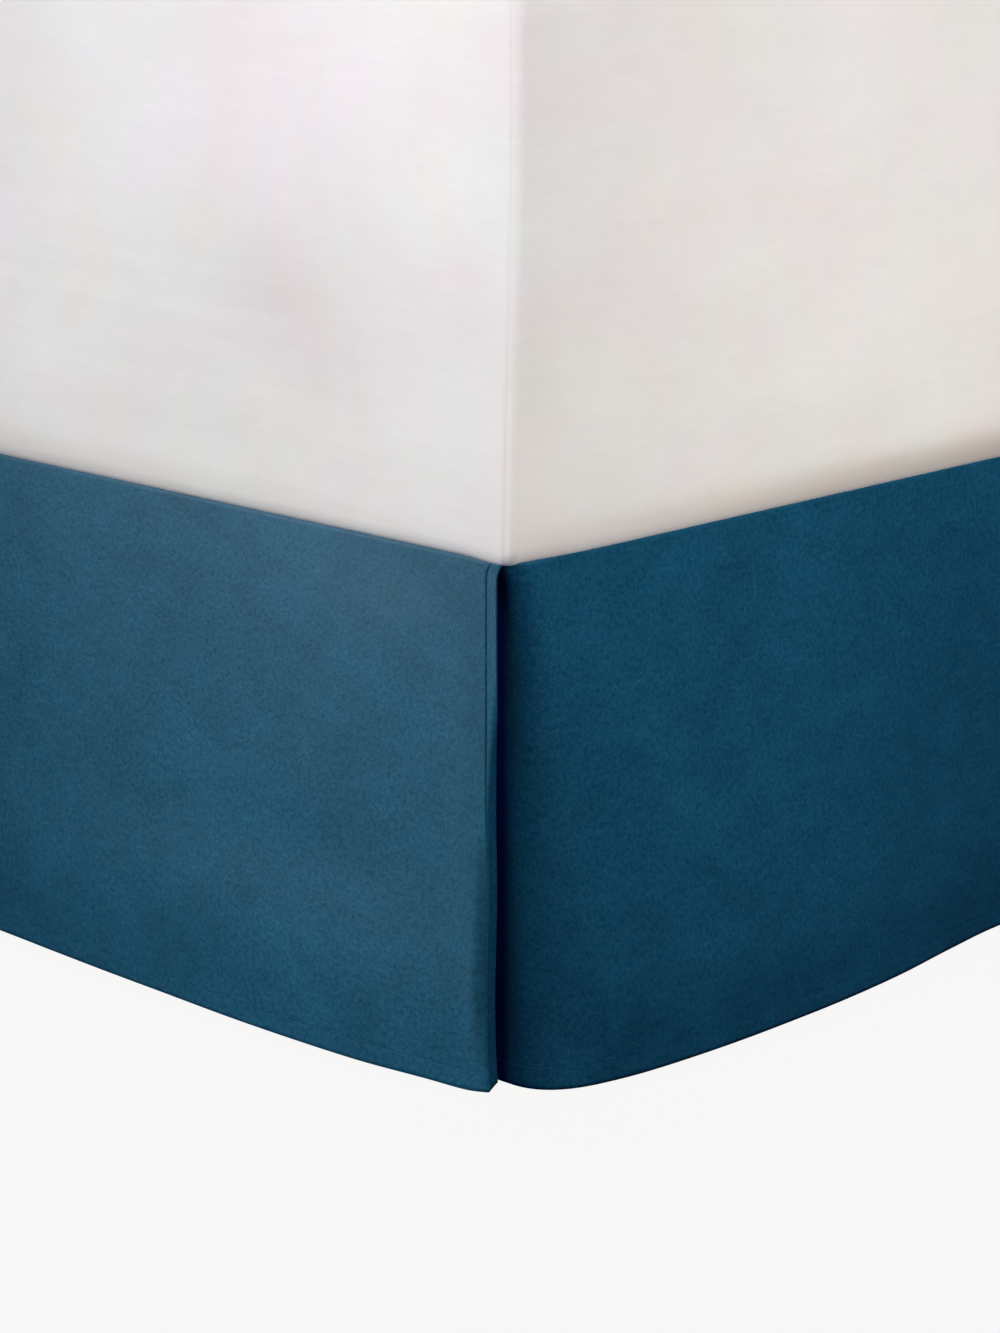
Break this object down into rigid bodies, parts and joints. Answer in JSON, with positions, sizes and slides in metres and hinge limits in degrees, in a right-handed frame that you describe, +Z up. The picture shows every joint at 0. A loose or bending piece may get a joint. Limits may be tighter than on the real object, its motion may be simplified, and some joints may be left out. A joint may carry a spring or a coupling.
{
  "type": "bed skirt on a bed",
  "caption": "Flat-panel bed skirt with split corners, hung from a deck cloth on a queen bed: foot panel over side panels that run on behind it, on a plain mattress and steel frame.",
  "frame": {"origin": "on the floor under the bed's middle leg, at the centre of the bed's length and width", "axes": "+Z up, +Y from the foot of the bed to its head, +X to the right seen from the foot"},
  "size_m": [1.616, 2.0737, 0.8088],
  "materials": {
    "skirt_cloth": "brushed microfibre, matt",
    "bed_sheet": "plain woven cotton",
    "ticking": "plain ticking",
    "frame_steel": "black powder coat",
    "glide_plastic": "moulded"
  },
  "bodies": {
    "root": {"foot_drop": "skirt_cloth", "side_drop_left": "skirt_cloth", "side_drop_right": "skirt_cloth", "deck": "skirt_cloth", "mattress": "bed_sheet", "foundation": "ticking", "rail_left": "frame_steel", "rail_right": "frame_steel", "cross_rail_foot": "frame_steel", "cross_rail_middle": "frame_steel", "cross_rail_head": "frame_steel", "leg_foot_left": "frame_steel", "leg_foot_centre": "frame_steel", "leg_foot_right": "frame_steel", "leg_middle_left": "frame_steel", "leg_middle_centre": "frame_steel", "leg_middle_right": "frame_steel", "leg_head_left": "frame_steel", "leg_head_centre": "frame_steel", "leg_head_right": "frame_steel", "glide_foot_left": "glide_plastic", "glide_foot_centre": "glide_plastic", "glide_foot_right": "glide_plastic", "glide_middle_left": "glide_plastic", "glide_middle_centre": "glide_plastic", "glide_middle_right": "glide_plastic", "glide_head_left": "glide_plastic", "glide_head_centre": "glide_plastic", "glide_head_right": "glide_plastic"}
  },
  "joints": []
}
